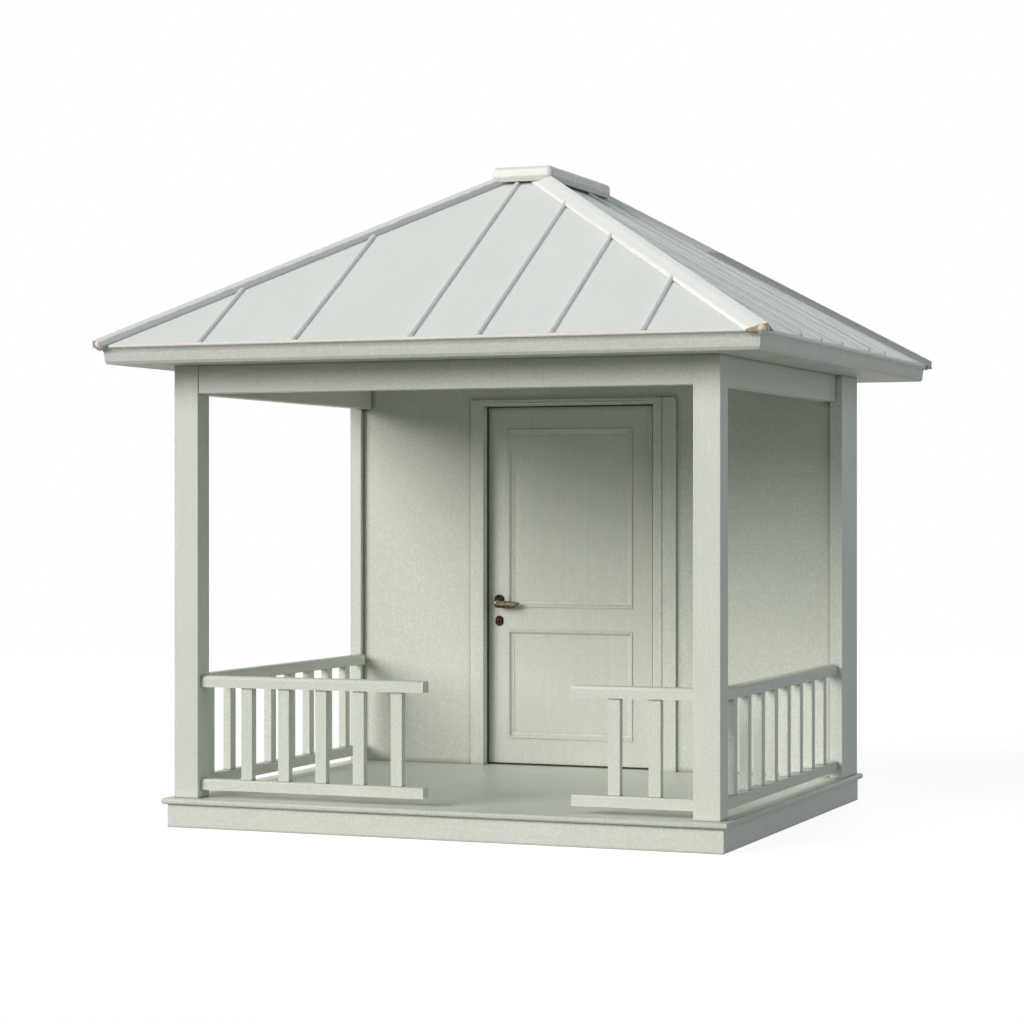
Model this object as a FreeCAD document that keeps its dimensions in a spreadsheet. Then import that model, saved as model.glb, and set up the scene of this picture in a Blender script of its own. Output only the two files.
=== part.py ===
import FreeCAD, Part
import Sketcher
import math
import os
import re

# A free-standing porch: a low plinth and deck, four posts, a back wall with a panelled
# door, low railings, and a hipped metal roof with rolled seams under a short ridge cap.
# Frame: +X to the right, +Y towards the back wall, +Z up. The origin is on the ground
# under the middle of the roof. All sizes are millimetres.

doc = FreeCAD.newDocument("Porch")

sizes = {
    # plinth and deck
    "plinthWidth": 2922,
    "plinthDepth": 2504,
    "skirtHeight": 117,
    "skirtThick": 30,
    "joistThick": 45,
    "joistCount": 6,
    "deckThick": 30,
    "nosingOut": 24,
    "nosingRound": 12,
    # posts and beams
    "postWide": 134,
    "postDeep": 122,
    "postSideInset": 24,
    "postFrontInset": 27,
    "postRearInset": 15,
    "rearPostWide": 66,
    "rearPostDepth": 326,
    "beamDepth": 142,
    "beamThick": 84,
    "frontBeamInset": 6,
    "sideBeamInset": 11,
    # back wall and doorway
    "wallInset": 36,
    "wallThick": 96,
    "overDoorHigh": 93,
    "doorMiddle": -144,
    "leafWidth": 992,
    "leafHeight": 2033,
    "leafThick": 44,
    "leafGap": 5,
    "sillGap": 12,
    "jambThick": 34,
    "stopOut": 11,
    "hingeStep": 23,
    "casingThick": 17,
    "casingReveal": 2,
    "casingArris": 3,
    "casingCorner": 18,
    "latchCasingWide": 77,
    "hingeCasingWide": 131,
    "rearCasingWide": 84,
    "headCasingHigh": 34,
    "bandWide": 49,
    "grooveWide": 5,
    "grooveDeep": 6,
    # door leaf
    "latchStileWide": 135,
    "hingeStileWide": 119,
    "topRailHigh": 140,
    "lockRailHigh": 143,
    "bottomRailHigh": 146,
    "upperPanelHigh": 1002,
    "panelStep": 2,
    "mouldFlat": 4,
    "mouldWide": 24,
    "mouldDeep": 9,
    # lever handles, plates and hinges
    "handleHeight": 930,
    "handleIn": 76,
    "leverReach": 135,
    "leverOut": 48,
    "leverRound": 19,
    "leverNeck": 16,
    "leverTip": 10,
    "leverSoft": 3,
    "leverLean": 4,
    "spindleWide": 8,
    "leverPlay": 0.3,
    "roseWide": 58,
    "roseSide": 36,
    "roseThick": 8,
    "plateShoulder": 2,
    "plateStep": 3,
    "keyPlateWide": 48,
    "keyPlateSide": 26,
    "keyPlateThick": 5,
    "keyHoleRound": 9,
    "keySlotWide": 4,
    "keySlotHigh": 15,
    "keyDrop": 112,
    "hingeHigh": 100,
    "hingeRound": 14,
    "hingePlay": 1,
    "hingeIn": 160,
    "pinRound": 6,
    "pinPlay": 0.5,
    "flapWide": 34,
    "flapThick": 2,
    # railings
    "railTop": 615,
    "railHigh": 57,
    "railThick": 68,
    "railRound": 15,
    "lowRailBottom": 42,
    "lowRailHigh": 54,
    "lowRailRound": 8,
    "balusterWide": 60,
    "balusterThick": 42,
    "leftWingLong": 1222,
    "leftWingFirst": 224,
    "leftWingLast": 118,
    "rightWingLong": 615,
    "rightWingFirst": 172,
    "rightWingLast": 180,
    "sideRailInset": 2,
    "sideFirst": 141,
    "sideLast": 178,
    # eaves and roof
    "sideOverhang": 228,
    "frontOverhang": 206,
    "rearOverhang": 540,
    "boardThick": 12,
    "fasciaHigh": 79,
    "fasciaThick": 20,
    "flareOut": 8,
    "flareHigh": 14,
    "faceOut": 11,
    "coveFoot": 48,
    "coveRound": 40,
    "crownOut": 25,
    "dripOut": 8,
    "dripRound": 7,
    "panelDeep": 18,
    "seamRound": 30,
    "roofRise": 898,
    "ridgeBack": 200,
    "hipRound": 58,
    "hipOut": 26,
    "hipTaper": 12,
    "capHigh": 79,
    "capWide": 343,
    "capLong": 933,
    "capLap": 34,
    "capCorner": 32,
    "capRound": 28,
}

# Seams of each slope, as shares of its eave; their spacing is uneven on the real roof
frontSeams = (0.163, 0.314, 0.493, 0.595, 0.702, 0.833)
sideSeams = (0.196, 0.306, 0.428, 0.596, 0.696)

# Tools that cut through a face stand proud of it by this much
proud = 10

sheet = doc.addObject("Spreadsheet::Sheet", "Dims")
for row, (alias, number) in enumerate(sizes.items(), start=1):
    sheet.set(f"A{row}", alias)
    sheet.set(f"B{row}", str(number))
    sheet.setAlias(f"B{row}", alias)
doc.recompute()

parts = []


# A formula's size names are pointed at their cells
def formula(text):
    return re.sub(r"[A-Za-z]+", lambda word: "Dims." + word[0] if word[0] in sizes else word[0], text)


def value(text):
    return float(sheet.evalExpression(formula(text)))


def bind(thing, **formulas):
    for name, text in formulas.items():
        thing.setExpression(name, formula(text))


def place(thing, x, y, z):
    thing.setExpression("Placement.Base.x", formula(x))
    thing.setExpression("Placement.Base.y", formula(y))
    thing.setExpression("Placement.Base.z", formula(z))


def keep(thing, label):
    thing.Label = label
    parts.append(thing)
    return thing


def board(name, wide, deep, high, x, y, z):
    thing = doc.addObject("Part::Box", name)
    bind(thing, Length=wide, Width=deep, Height=high)
    place(thing, x, y, z)
    return thing


def rod(name, across, long, x, y, z, along="y"):
    thing = doc.addObject("Part::Cylinder", name)
    bind(thing, Radius=f"({across}) / 2", Height=long)
    if along == "y":
        thing.Placement.Rotation = FreeCAD.Rotation(FreeCAD.Vector(1, 0, 0), -90)
    place(thing, x, y, z)
    return thing


def together(kind, name, members):
    thing = doc.addObject(kind, name)
    if kind == "Part::Compound":
        thing.Links = members
    else:
        thing.Shapes = members
    return thing


def without(name, base, tool):
    thing = doc.addObject("Part::Cut", name)
    thing.Base = base
    thing.Tool = tool
    return thing


def shared(name, base, tool):
    thing = doc.addObject("Part::Common", name)
    thing.Base = base
    thing.Tool = tool
    return thing


# Rounds the edges that the test picks
def softened(name, base, size, picks):
    doc.recompute()
    thing = doc.addObject("Part::Fillet", name)
    thing.Base = base
    thing.Edges = [(number, sizes[size], sizes[size])
                   for number, edge in enumerate(base.Shape.Edges, start=1) if picks(edge.BoundBox)]
    return thing


def tie(sketch, text, *terms):
    index = sketch.addConstraint(Sketcher.Constraint(*terms, value(text)))
    sketch.setExpression(f"Constraints[{index}]", formula(text))


# Draws a closed outline. A corner is (across, up), and where an arc leads on to the next
# corner also its radius and the side of its centre: 1 is left of the way, -1 is right
def outline(sketch, corners):
    spots = [FreeCAD.Vector(value(corner[0]), value(corner[1]), 0) for corner in corners]
    ends = []
    for number, corner in enumerate(corners):
        first = spots[number]
        last = spots[(number + 1) % len(spots)]
        if len(corner) == 2:
            sketch.addGeometry(Part.LineSegment(first, last))
            ends.append((1, 2))
            continue
        radius = value(corner[2])
        half = (last - first) / 2
        lean = math.sqrt(max(radius ** 2 - half.Length ** 2, 0)) * corner[3]
        centre = first + half + FreeCAD.Vector(-half.y, half.x, 0).normalize() * lean
        turns = [math.atan2(spot.y - centre.y, spot.x - centre.x) for spot in (first, last)][::corner[3]]
        sketch.addGeometry(Part.ArcOfCircle(Part.Circle(centre, FreeCAD.Vector(0, 0, 1), radius), *turns))
        ends.append((1, 2)[::corner[3]])
    for number, corner in enumerate(corners):
        after = (number + 1) % len(corners)
        sketch.addConstraint(Sketcher.Constraint("Coincident", number, ends[number][1], after, ends[after][0]))
        tie(sketch, corner[0], "DistanceX", -1, 1, number, ends[number][0])
        tie(sketch, corner[1], "DistanceY", -1, 1, number, ends[number][0])
        if len(corner) > 2:
            tie(sketch, corner[2], "Radius", number)
    return sketch


# A body padded from an outline on one of its planes
def padded(name, plane, offset, corners, long):
    body = doc.addObject("PartDesign::Body", name)
    sketch = body.newObject("Sketcher::SketchObject", name + "Outline")
    origin = [item for item in body.Origin.OriginFeatures if item.Role == plane][0]
    sketch.AttachmentSupport = [(origin, "")]
    sketch.MapMode = "FlatFace"
    sketch.setExpression("AttachmentOffset.Base.z", formula(offset))
    outline(sketch, corners)
    pad = body.newObject("PartDesign::Pad", name + "Pad")
    pad.Profile = sketch
    bind(pad, Length=long)
    return body


# A moulding mitred round a rectangle, from a profile of (outward, up) corners
def moulding(name, profile, left, front, wide, long, z):
    path = doc.addObject("Sketcher::SketchObject", name + "Path")
    outline(path, [("0", "0"), ("0", long), (wide, long), (wide, "0")])
    place(path, left, front, z)
    section = doc.addObject("Sketcher::SketchObject", name + "Section")
    outline(section, [(f"0 - {corner[0]}", *corner[1:]) for corner in profile])
    section.Placement.Rotation = FreeCAD.Rotation(FreeCAD.Vector(1, 0, 0), 90)
    place(section, left, front, z)
    doc.recompute()
    thing = doc.addObject("Part::Sweep", name)
    thing.Sections = [section]
    thing.Spine = (path, [f"Edge{number}" for number in range(1, 5)])
    thing.Solid = True
    thing.Frenet = False
    thing.Transition = "Right corner"
    return thing


# A rounded nose standing out from a wall, as a profile for a moulding
def nose(out, high, radius):
    return [("0", "0"), ("0", high), (f"({out} - {radius})", high, radius, 1), (out, f"{high} - {radius}"),
            (out, radius, radius, 1), (f"({out} - {radius})", "0")]


# Places used by several pieces, as formulas of the sizes
deckTop = "(skirtHeight + deckThick)"
plinthLeft = "(0 - plinthWidth / 2)"
plinthFront = "(0 - plinthDepth / 2 + (frontOverhang - rearOverhang) / 2)"
plinthRear = f"({plinthFront} + plinthDepth)"
postOuter = "(plinthWidth / 2 - postSideInset)"
postInner = f"({postOuter} - postWide)"
rearInner = "(plinthWidth / 2 - rearPostWide)"
postFront = f"({plinthFront} + postFrontInset)"
postRear = f"({plinthRear} - postRearInset)"
rearPostFront = f"({postRear} - rearPostDepth)"
wallFront = f"({rearPostFront} + wallInset)"
wallRear = f"({wallFront} + wallThick)"
leafBottom = f"({deckTop} + sillGap)"
leafTop = f"({leafBottom} + leafHeight)"
frameTop = f"({leafTop} + leafGap + jambThick)"
soffitZ = f"({frameTop} + overDoorHigh)"
postHigh = f"({soffitZ} - {deckTop})"
beamBottom = f"({soffitZ} - beamDepth)"
sideLong = f"({rearPostFront} - {postFront} - postDeep)"

# Plinth and deck
keep(board("SkirtFront", "plinthWidth", "skirtThick", "skirtHeight", plinthLeft, plinthFront, "0"), "skirt_front")
keep(board("SkirtBack", "plinthWidth", "skirtThick", "skirtHeight", plinthLeft,
           f"{plinthRear} - skirtThick", "0"), "skirt_back")
for side, x in (("left", plinthLeft), ("right", "plinthWidth / 2 - skirtThick")):
    keep(board("Skirt" + side.title(), "skirtThick", "plinthDepth - 2 * skirtThick", "skirtHeight",
               x, f"{plinthFront} + skirtThick", "0"), "skirt_" + side)

joists = []
for number in range(sizes["joistCount"]):
    step = f"{number + 1} * (plinthWidth - 2 * skirtThick) / (joistCount + 1)"
    joists.append(board(f"Joist{number}", "joistThick", "plinthDepth - 2 * skirtThick", "skirtHeight",
                        f"{plinthLeft} + skirtThick + {step} - joistThick / 2",
                        f"{plinthFront} + skirtThick", "0"))
keep(together("Part::Compound", "Joists", joists), "floor_joists")

keep(board("Deck", "plinthWidth", "plinthDepth", "deckThick", plinthLeft, plinthFront, "skirtHeight"), "deck_floor")
keep(moulding("Nosing", nose("nosingOut", "deckThick", "nosingRound"),
              plinthLeft, plinthFront, "plinthWidth", "plinthDepth", "skirtHeight"), "deck_nosing")

# Posts: square ones in front, and narrow deep ones behind that hold the wall
for side, x in (("left", f"0 - {postOuter}"), ("right", postInner)):
    keep(board("FrontPost" + side.title(), "postWide", "postDeep", postHigh, x, postFront, deckTop),
         f"front_{side}_post")
rearPosts = []
for side, x in (("left", plinthLeft), ("right", rearInner)):
    rearPosts.append(keep(board("RearPost" + side.title(), "rearPostWide", "rearPostDepth", postHigh,
                                x, rearPostFront, deckTop), f"rear_{side}_post"))

# Beams between the posts; the rear one is level with the door frame's head, so that the
# open leaf passes under it, and the side ones reach the wall beside the rear posts
keep(board("FrontBeam", f"2 * {postInner}", "beamThick", "beamDepth", f"0 - {postInner}",
           f"{postFront} + frontBeamInset", beamBottom), "front_beam")
keep(board("RearBeam", f"2 * {rearInner}", "beamThick", "overDoorHigh", f"0 - {rearInner}",
           f"{postRear} - frontBeamInset - beamThick", frameTop), "rear_beam")
for side, x, post in (("left", f"0 - {postOuter} + sideBeamInset", rearPosts[0]),
                      ("right", f"{postOuter} - sideBeamInset - beamThick", rearPosts[1])):
    blank = board("BeamBlank" + side.title(), "beamThick", f"{sideLong} + wallInset", "beamDepth",
                  x, f"{postFront} + postDeep", beamBottom)
    keep(without("Beam" + side.title(), blank, post), f"{side}_beam")

# Back wall, cut beside and over the doorway
leafLeft = "(doorMiddle - leafWidth / 2)"
leafRight = "(doorMiddle + leafWidth / 2)"
frameLeft = f"({leafLeft} - leafGap - jambThick)"
frameRight = f"({leafRight} + leafGap + jambThick)"
keep(board("WallLeft", f"{rearInner} + {frameLeft}", "wallThick", postHigh,
           f"0 - {rearInner}", wallFront, deckTop), "wall_left")
keep(board("WallRight", f"{rearInner} - {frameRight}", "wallThick", postHigh,
           frameRight, wallFront, deckTop), "wall_right")
keep(board("WallOver", f"{frameRight} - {frameLeft}", "wallThick", "overDoorHigh",
           frameLeft, wallFront, frameTop), "wall_over_door")

# Door frame: the leaf closes against a stop at its latch side and its head, and on the
# hinge side the frame is stepped back so that the whole leaf shows
leafRear = wallRear
leafFront = f"({leafRear} - leafThick)"
mouthLeft = f"({leafLeft} - leafGap + stopOut)"
mouthRight = f"({leafRight} + leafGap + hingeStep)"
mouthTop = f"({leafTop} + leafGap - stopOut)"
frameBlank = board("FrameBlank", f"{frameRight} - {frameLeft}", "wallThick", f"{frameTop} - {deckTop}",
                   frameLeft, wallFront, deckTop)
frameRebate = board("FrameRebate", "leafWidth + 2 * leafGap", f"leafThick + leafGap + {proud}",
                    f"sillGap + leafHeight + leafGap + {proud}",
                    f"{leafLeft} - leafGap", f"{leafFront} - leafGap", f"{deckTop} - {proud}")
frameMouth = board("FrameMouth", f"{mouthRight} - {mouthLeft}", f"{leafFront} - leafGap - {wallFront} + {proud}",
                   f"{mouthTop} - {deckTop} + {proud}", mouthLeft, f"{wallFront} - {proud}", f"{deckTop} - {proud}")
keep(without("Frame", frameBlank, together("Part::MultiFuse", "FrameOpenings", [frameRebate, frameMouth])),
     "door_frame")


# Casing round the doorway on one wall face, as a padded arch with softened edges
def casing(name, left, right, top, leftWide, rightWide, cornerRound, near, far):
    outerLeft = f"({left} - {leftWide})"
    outerRight = f"({right} + {rightWide})"
    outerTop = f"({top} + headCasingHigh)"
    body = padded(name + "Arch", "XZ_Plane", f"0 - {far}",
                  [(outerLeft, deckTop), (left, deckTop), (left, top), (right, top), (right, deckTop),
                   (outerRight, deckTop), (outerRight, f"{outerTop} - {cornerRound}", cornerRound, 1),
                   (f"{outerRight} - {cornerRound}", outerTop), (outerLeft, outerTop)], f"{far} - {near}")
    return body


faceY = f"({wallFront} - casingThick)"
bandEdge = f"({mouthRight} + casingReveal + bandWide)"
frontArch = casing("Front", f"({mouthLeft} - casingReveal)", f"({mouthRight} + casingReveal)",
                   f"({mouthTop} + casingReveal)", "latchCasingWide", "hingeCasingWide", "casingCorner", faceY, wallFront)
frontSoft = softened("FrontSoft", frontArch, "casingArris",
                     lambda box: box.YMax < value(faceY) + 1 and box.ZMax > value(deckTop) + 1)
groove = board("Groove", "grooveWide", f"grooveDeep + {proud}", postHigh, bandEdge, f"{faceY} - {proud}", deckTop)
keep(without("FrontCasing", frontSoft, groove), "front_casing")

hingeClear = "(leafGap + hingeRound / 2)"
rearFaceY = f"({wallRear} + casingThick)"
rearArch = casing("Rear", f"({leafLeft} - {hingeClear})", f"({leafRight} + {hingeClear})",
                  f"({leafTop} + {hingeClear})", "rearCasingWide", "rearCasingWide", "casingArris", wallRear, rearFaceY)
keep(softened("RearCasing", rearArch, "casingArris",
              lambda box: box.YMin > value(rearFaceY) - 1 and box.ZMax > value(deckTop) + 1), "rear_casing")

# Door leaf: stiles and rails round two openings, with a panel in each
leafBlank = board("LeafBlank", "leafWidth", "leafThick", "leafHeight", leafLeft, leafFront, leafBottom)
panelLeft = f"({leafLeft} + latchStileWide)"
panelWide = "(leafWidth - latchStileWide - hingeStileWide)"
lowerZ = f"({leafBottom} + bottomRailHigh)"
upperZ = f"({leafTop} - topRailHigh - upperPanelHigh)"
lowerHigh = f"({upperZ} - lockRailHigh - {lowerZ})"
handleX = f"({leafLeft} + handleIn)"
handleZ = f"({deckTop} + handleHeight)"


# A bevelled recess in one face of a panel, from its outer edge at near to its floor at far
def recess(name, z, high, near, far):
    thing = doc.addObject("Part::Wedge", name)
    foot = "(mouldFlat + mouldWide)"
    bind(thing, Ymin=near, Ymax=far,
         Xmin=f"{panelLeft} + mouldFlat", Xmax=f"{panelLeft} + {panelWide} - mouldFlat",
         Zmin=f"{z} + mouldFlat", Zmax=f"{z} + {high} - mouldFlat",
         X2min=f"{panelLeft} + {foot}", X2max=f"{panelLeft} + {panelWide} - {foot}",
         Z2min=f"{z} + {foot}", Z2max=f"{z} + {high} - {foot}")
    return thing


cuts = []
panels = []
for name, z, high in (("Lower", lowerZ, lowerHigh), ("Upper", upperZ, "upperPanelHigh")):
    cuts.append(board(name + "Opening", panelWide, f"leafThick + 2 * {proud}", high,
                      panelLeft, f"{leafFront} - {proud}", z))
    blank = board(name + "PanelBlank", panelWide, "leafThick - 2 * panelStep", high,
                  panelLeft, f"{leafFront} + panelStep", z)
    front = recess(name + "FrontRecess", z, high, f"{leafFront} + panelStep", f"{leafFront} + panelStep + mouldDeep")
    rear = recess(name + "RearRecess", z, high, f"0 - {leafRear} + panelStep", f"0 - {leafRear} + panelStep + mouldDeep")
    turned = doc.addObject("Part::Mirroring", name + "RearTurned")
    turned.Source = rear
    turned.Normal = (0, 1, 0)
    panels.append(without(name + "Panel", blank, together("Part::Compound", name + "Recesses", [front, turned])))
cuts.append(rod("SpindleHole", "2 * spindleWide", f"leafThick + 2 * {proud}", handleX,
                f"{leafFront} - {proud}", handleZ))
keep(without("Leaf", leafBlank, together("Part::MultiFuse", "LeafOpenings", cuts)), "door_leaf")
keep(together("Part::Compound", "Panels", panels), "door_panels")


# Lever handles on one spindle: each has a round neck and a turned grip, which thins
# towards its tip, leans back to the door and drops a little
def grip(name, neckY, gripY, lean):
    section = doc.addObject("Sketcher::SketchObject", name + "GripSection")
    outline(section, [("(0 - leverRound / 2)", "0"), ("(0 - leverRound / 2)", "leverRound / 2 - leverSoft"),
                      ("(leverSoft - leverRound / 2)", "leverRound / 2"), ("(leverReach - leverSoft)", "leverTip / 2"),
                      ("leverReach", "leverTip / 2 - leverSoft"), ("leverReach", "0")])
    turned = doc.addObject("Part::Revolution", name + "Grip")
    turned.Source = section
    turned.Axis = (1, 0, 0)
    turned.Solid = True
    bind(turned, Placement=f"placement(vector({handleX}; {gripY}; {handleZ}); "
                           f"rotationz({lean}) * rotationy(leverLean))")
    neck = rod(name + "Neck", "leverNeck", "leverOut - roseThick - leverPlay", handleX, neckY, handleZ)
    return [turned, neck]


frontOut = f"({leafFront} - leverOut)"
rearOut = f"({leafRear} + leverOut)"
spindle = board("Spindle", "spindleWide", "leafThick + 2 * leverOut", "spindleWide",
                f"{handleX} - spindleWide / 2", frontOut, f"{handleZ} - spindleWide / 2")
keep(together("Part::MultiFuse", "Lever", [
    spindle, *grip("Front", frontOut, frontOut, "leverLean"),
    *grip("Rear", f"{leafRear} + roseThick + leverPlay", rearOut, "-1 * leverLean")]), "lever_handle")


# An upright oval plate on the lock's line, which steps in once on its way to its face
def oval(name, wide, side, z, foot, step, face):
    layers = []
    for layer, across, ends in (("Base", wide, (foot, step)), ("Crown", f"({wide} - 2 * plateStep)", (step, face))):
        left = f"({handleX} - {across} / 2)"
        right = f"({handleX} + {across} / 2)"
        low = f"({z} - {side} / 2)"
        high = f"({z} + {side} / 2)"
        arc = f"({across} / 2 + plateShoulder)"
        near, far = sorted(ends, key=value)
        layers.append(padded(name + layer, "XZ_Plane", f"0 - {far}",
                             [(right, low), (right, high, arc, 1), (left, high), (left, low, arc, 1)],
                             f"{far} - {near}"))
    return together("Part::MultiFuse", name, layers)


plates = []
keyZ = f"({handleZ} - keyDrop)"
for side, face, out in (("Front", leafFront, "-"), ("Rear", leafRear, "+")):
    rose = oval(side + "Rose", "roseWide", "roseSide", handleZ, face,
                f"({face} {out} roseThick / 2)", f"({face} {out} roseThick)")
    bore = rod(side + "Bore", "2 * spindleWide", f"2 * (roseThick + {proud})", handleX,
               f"{face} - roseThick - {proud}", handleZ)
    plates.append(without(side + "Rosette", rose, bore))
    keyPlate = oval(side + "Key", "keyPlateWide", "keyPlateSide", keyZ, face,
                    f"({face} {out} keyPlateThick / 2)", f"({face} {out} keyPlateThick)")
    hole = rod(side + "KeyRound", "keyHoleRound", f"2 * (keyPlateThick + {proud})", handleX,
               f"{face} - keyPlateThick - {proud}", keyZ)
    slot = board(side + "KeySlot", "keySlotWide", f"2 * (keyPlateThick + {proud})", "keySlotHigh",
                 f"{handleX} - keySlotWide / 2", f"{face} - keyPlateThick - {proud}", f"{keyZ} - keySlotHigh")
    keyhole = together("Part::MultiFuse", side + "Keyhole", [hole, slot])
    plates.append(without(side + "Escutcheon", keyPlate, keyhole))
keep(together("Part::Compound", "Plates", plates), "lock_plates")

# Three butt hinges: flaps between the leaf's edge and the right jamb, knuckles behind
pinX = f"({leafRight} + leafGap / 2)"
pinY = f"({leafRear} + hingeRound / 2 + hingePlay)"
framePlateX = f"({pinX} + leafGap / 2 - flapThick)"
leafPlateX = f"({pinX} - leafGap / 2)"
third = "(hingeHigh / 3)"
middleHigh = f"({third} - 2 * hingePlay)"
fixedHinges = []
movingHinges = []
for number, z in enumerate((f"({leafBottom} + hingeIn)", f"({leafBottom} + leafHeight / 2 - hingeHigh / 2)",
                            f"({leafTop} - hingeIn - hingeHigh)")):
    fixed = [board(f"FrameFlap{number}", "flapThick", "flapWide", "hingeHigh",
                   framePlateX, f"{leafRear} - flapWide", z),
             rod(f"Pin{number}", "pinRound", "hingeHigh", pinX, pinY, z, along="z")]
    for level, end in (("Low", z), ("High", f"{z} + 2 * {third}")):
        fixed.append(rod(f"{level}Knuckle{number}", "hingeRound", third, pinX, pinY, end, along="z"))
        fixed.append(board(f"{level}Arm{number}", "flapThick", f"{pinY} - {leafRear}", third,
                           framePlateX, leafRear, end))
    fixedHinges.append(together("Part::MultiFuse", f"FixedHinge{number}", fixed))
    middleZ = f"{z} + {third} + hingePlay"
    moving = [board(f"LeafFlap{number}", "flapThick", "flapWide", "hingeHigh",
                    leafPlateX, f"{leafRear} - flapWide", z),
              rod(f"MiddleKnuckle{number}", "hingeRound", middleHigh, pinX, pinY, middleZ, along="z"),
              board(f"MiddleArm{number}", "flapThick", f"{pinY} - {leafRear}", middleHigh,
                    leafPlateX, leafRear, middleZ)]
    bore = rod(f"PinBore{number}", "pinRound + 2 * pinPlay", f"hingeHigh + 2 * {proud}", pinX, pinY,
               f"{z} - {proud}", along="z")
    movingHinges.append(without(f"MovingHinge{number}",
                                together("Part::MultiFuse", f"MovingBlank{number}", moving), bore))
keep(together("Part::Compound", "FixedHinges", fixedHinges), "frame_hinges")
keep(together("Part::Compound", "MovingHinges", movingHinges), "leaf_hinges")

# Railings
lowRailZ = f"({deckTop} + lowRailBottom)"
topRailZ = f"({deckTop} + railTop - railHigh)"
balusterZ = f"({lowRailZ} + lowRailHigh)"
balusterHigh = f"({topRailZ} - {balusterZ})"
railBack = "((postDeep - railThick) / 2)"
slimBack = "((postDeep - balusterThick) / 2)"
slimIn = "((railThick - balusterThick) / 2)"


# The section of a rail, with both of its upper edges rounded
def railSection(across, up, high, radius):
    right = f"({across} + railThick)"
    top = f"({up} + {high})"
    return [(across, up), (right, up), (right, f"{top} - {radius}", radius, 1), (f"{right} - {radius}", top),
            (f"{across} + {radius}", top, radius, 1), (across, f"{top} - {radius}")]


def rails(name, plane, across, offset, long):
    return [padded(name + "TopRail", plane, offset, railSection(across, topRailZ, "railHigh", "railRound"), long),
            padded(name + "LowRail", plane, offset, railSection(across, lowRailZ, "lowRailHigh", "lowRailRound"), long)]


# A railing beside the entrance, with its balusters counted from the post
def wing(side, left, long, first, last, count):
    y = f"({postFront} + {railBack})"
    keep(together("Part::Compound", f"{side}WingRails", rails(f"{side}Wing", "YZ_Plane", y, left, long)),
         f"front_{side.lower()}_rails")
    pitch = f"({long} - {first} - {last} - balusterWide) / {count - 1}"
    balusters = []
    for number in range(count):
        reach = f"({first} + {number} * {pitch})"
        x = f"{left} + {reach}" if side == "Left" else f"{postInner} - {reach} - balusterWide"
        balusters.append(board(f"{side}WingBaluster{number}", "balusterWide", "balusterThick", balusterHigh,
                               x, f"{postFront} + {slimBack}", balusterZ))
    keep(together("Part::Compound", f"{side}WingBalusters", balusters), f"front_{side.lower()}_balusters")


leftWingCount = 5
rightWingCount = 2
sideCount = 8
wing("Left", f"(0 - {postInner})", "leftWingLong", "leftWingFirst", "leftWingLast", leftWingCount)
wing("Right", f"({postInner} - rightWingLong)", "rightWingLong", "rightWingFirst", "rightWingLast", rightWingCount)
for side, railX in (("left", f"(0 - {postOuter} + sideRailInset)"), ("right", f"({postOuter} - sideRailInset - railThick)")):
    startY = f"({postFront} + postDeep)"
    name = side.title() + "Side"
    keep(together("Part::Compound", name + "Rails",
                  rails(name, "XZ_Plane", railX, f"0 - {rearPostFront}", sideLong)), f"{side}_rails")
    pitch = f"({sideLong} - sideFirst - sideLast - balusterWide) / {sideCount - 1}"
    balusters = [board(f"{name}Baluster{number}", "balusterThick", "balusterWide", balusterHigh,
                       f"{railX} + {slimIn}", f"{startY} + sideFirst + {number} * {pitch}", balusterZ)
                 for number in range(sideCount)]
    keep(together("Part::Compound", name + "Balusters", balusters), f"{side}_balusters")

# Ceiling and soffit boards on top of the beams
eaveX = "(plinthWidth / 2 + sideOverhang)"
eaveFront = f"({plinthFront} - frontOverhang)"
eaveLong = "(frontOverhang + plinthDepth + rearOverhang)"
ceilingWide = f"(2 * {postOuter} - postWide)"
ceilingLong = f"({postRear} - {postFront} - postDeep)"
ceilingX = f"(0 - {ceilingWide} / 2)"
ceilingY = f"({postFront} + postDeep / 2)"
keep(board("Ceiling", ceilingWide, ceilingLong, "boardThick", ceilingX, ceilingY, soffitZ), "ceiling_board")
soffitBlank = board("SoffitBlank", f"2 * {eaveX} - 2 * fasciaThick", f"{eaveLong} - 2 * fasciaThick",
                    "boardThick", f"0 - {eaveX} + fasciaThick", f"{eaveFront} + fasciaThick", soffitZ)
soffitHole = board("SoffitHole", ceilingWide, ceilingLong, f"boardThick + 2 * {proud}", ceilingX, ceilingY,
                   f"{soffitZ} - {proud}")
keep(without("Soffit", soffitBlank, soffitHole), "soffit_boards")

# The roof's own lines: its eave rectangle, its ridge rectangle and their heights
roofX = f"({eaveX} + crownOut)"
roofFront = f"({eaveFront} - crownOut)"
roofRear = f"({eaveFront} + {eaveLong} + crownOut)"
roofLong = f"({roofRear} - {roofFront})"
ridgeX = "(capWide / 2 - capLap)"
ridgeFront = f"(({roofFront} + {roofRear}) / 2 + ridgeBack - capLong / 2 + capLap)"
ridgeRear = f"({ridgeFront} + capLong - 2 * capLap)"
roofZ = f"({soffitZ} + fasciaHigh)"
eaveTop = f"({roofZ} + panelDeep)"
capBottom = f"({eaveTop} + roofRise)"

# The space under the panels, which trims the seams, the fascia and the hip rolls
attic = doc.addObject("Part::Wedge", "Attic")
bind(attic, Xmin=f"0 - {roofX}", Xmax=roofX, Ymin=roofZ, Ymax=f"{capBottom} - panelDeep",
     Zmin=f"0 - {roofRear}", Zmax=f"0 - {roofFront}", X2min=f"0 - {ridgeX}", X2max=ridgeX,
     Z2min=f"0 - {ridgeRear}", Z2max=f"0 - {ridgeFront}")
attic.Placement.Rotation = FreeCAD.Rotation(FreeCAD.Vector(1, 0, 0), 90)


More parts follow.
